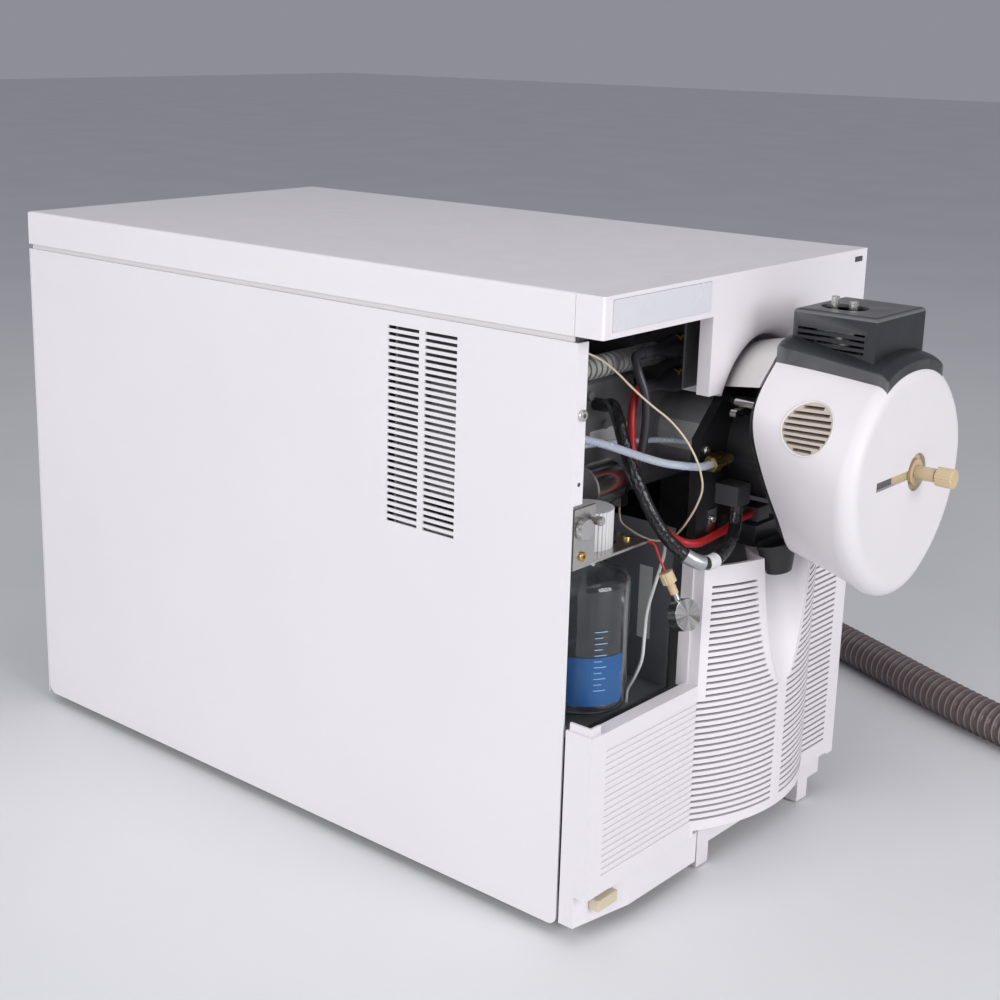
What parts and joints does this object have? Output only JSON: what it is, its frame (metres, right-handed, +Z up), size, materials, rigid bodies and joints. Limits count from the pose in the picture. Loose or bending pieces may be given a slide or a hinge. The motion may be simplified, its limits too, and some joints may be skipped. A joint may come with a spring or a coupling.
{
  "type": "mass spectrometer",
  "caption": "Bench mass spectrometer: vented metal case, moulded front with open fluidics bay, hinged spray ion source and a vacuum hose from the rear port.",
  "frame": {"origin": "centre of the outer box's underside, on the table under the rubber feet, measured without the free hose", "axes": "+Z up, the front with the ion source faces -Y, +X to the right seen from the front"},
  "size_m": [0.7637, 1.0171, 0.488],
  "materials": {
    "case_white": "fine textured powder coat",
    "sheet_grey": "zinc plated sheet",
    "bezel_cream": "moulded, fine spark texture",
    "plate_blue": "printed film, no marks",
    "lamp_lens": "tinted lens",
    "bare_steel": "turned and brushed",
    "machined_aluminium": "machined",
    "coated_black": "black coated metal",
    "plastic_black": "moulded black plastic",
    "rubber_black": "black rubber",
    "housing_blue": "moulded, satin",
    "plate_tan": "tan high-temperature plastic",
    "bottle_glass": "clear borosilicate glass",
    "cap_white": "ribbed white plastic",
    "duct_grey": "ribbed flexible duct",
    "brass": "turned brass",
    "lead_red": "red insulated lead",
    "lead_black": "black sleeving",
    "capillary_cream": "cream polymer capillary",
    "tube_pale": "pale fluoropolymer tube",
    "hose_pvc": "reinforced hose"
  },
  "bodies": {
    "case": {"top_cover": "case_white", "left_side_panel": "case_white", "right_side_panel": "case_white", "rear_panel": "case_white", "base_pan": "case_white", "feet": "rubber_black", "bulkhead": "sheet_grey", "front_frame": "sheet_grey", "power_inlet": "plastic_black", "front_upper_bezel": "bezel_cream", "front_lower_bezel": "bezel_cream", "name_plate": "plate_blue", "status_lamp": "lamp_lens", "bay_liner": "case_white", "bottle_bracket": "bare_steel", "calibrant_bottle": "bottle_glass", "bottle_lid": "cap_white", "optics_housing": "machined_aluminium", "terminal_block": "plastic_black", "manifold": "machined_aluminium", "upper_boot": "rubber_black", "lower_boot": "rubber_black", "air_duct": "duct_grey", "pump_motor": "bare_steel", "cable_sockets": "plastic_black", "brass_fitting": "brass", "inlet_filter": "bare_steel", "filter_fitting": "plate_tan", "filter_tube": "lead_red", "wire_loom": "lead_black", "supply_lead": "lead_red", "signal_lead": "lead_black", "capillary": "capillary_cream", "gas_tube": "tube_pale", "vent_tube": "tube_pale", "drip_tube": "tube_pale", "gas_ports": "brass", "data_sockets": "plastic_black", "source_shroud": "bezel_cream", "source_mount": "coated_black", "drain_spout": "plastic_black", "hinge_bracket": "coated_black", "hinge_pin": "bare_steel", "foreline_elbow": "bare_steel", "flange_clamp": "machined_aluminium", "vacuum_hose": "hose_pvc", "hose_end": "bare_steel"},
    "source": {"source_housing": "housing_blue", "source_top_cover": "plastic_black", "source_back_plate": "coated_black", "keeper_stud": "bare_steel", "hinge_leaf": "coated_black", "sprayer": "bare_steel", "probe_plate": "plate_tan"},
    "left_adjuster": {"left_adjuster": "bare_steel"},
    "right_adjuster": {"right_adjuster": "bare_steel"},
    "probe": {"probe": "bare_steel"},
    "latch_lever": {"latch_lever": "bare_steel"},
    "power_button": {"power_button": "bezel_cream"},
    "thumb_screw": {"thumb_screw": "bare_steel"}
  },
  "joints": [
    {"name": "source_hinge", "type": "hinge", "parent": "case", "child": "source", "pos_m": [0.122, -0.309, 0.353], "axis": [0, 0, 1], "range_deg": [0, 90]},
    {"name": "latch_turn", "type": "hinge", "parent": "case", "child": "latch_lever", "pos_m": [0, -0.305, 0.387], "axis": [0, -1, 0], "range_deg": [0, 40]},
    {"name": "power_button_press", "type": "slide", "parent": "case", "child": "power_button", "axis": [0, 1, 0], "range_m": [0, 0.003], "stiffness_N_per_m": 400},
    {"name": "thumb_screw_turn", "type": "hinge", "parent": "case", "child": "thumb_screw", "pos_m": [-0.172, -0.269, 0.319], "axis": [0, -1, 0], "continuous": true},
    {"name": "probe_turn", "type": "hinge", "parent": "source", "child": "probe", "pos_m": [0.051, -0.417, 0.345], "axis": [0, -1, 0], "continuous": true},
    {"name": "left_adjuster_turn", "type": "hinge", "parent": "source", "child": "left_adjuster", "pos_m": [0.028, -0.344, 0.46], "axis": [0, 0, 1], "continuous": true},
    {"name": "right_adjuster_turn", "type": "hinge", "parent": "source", "child": "right_adjuster", "pos_m": [0.032, -0.357, 0.46], "axis": [0, 0, 1], "continuous": true}
  ]
}
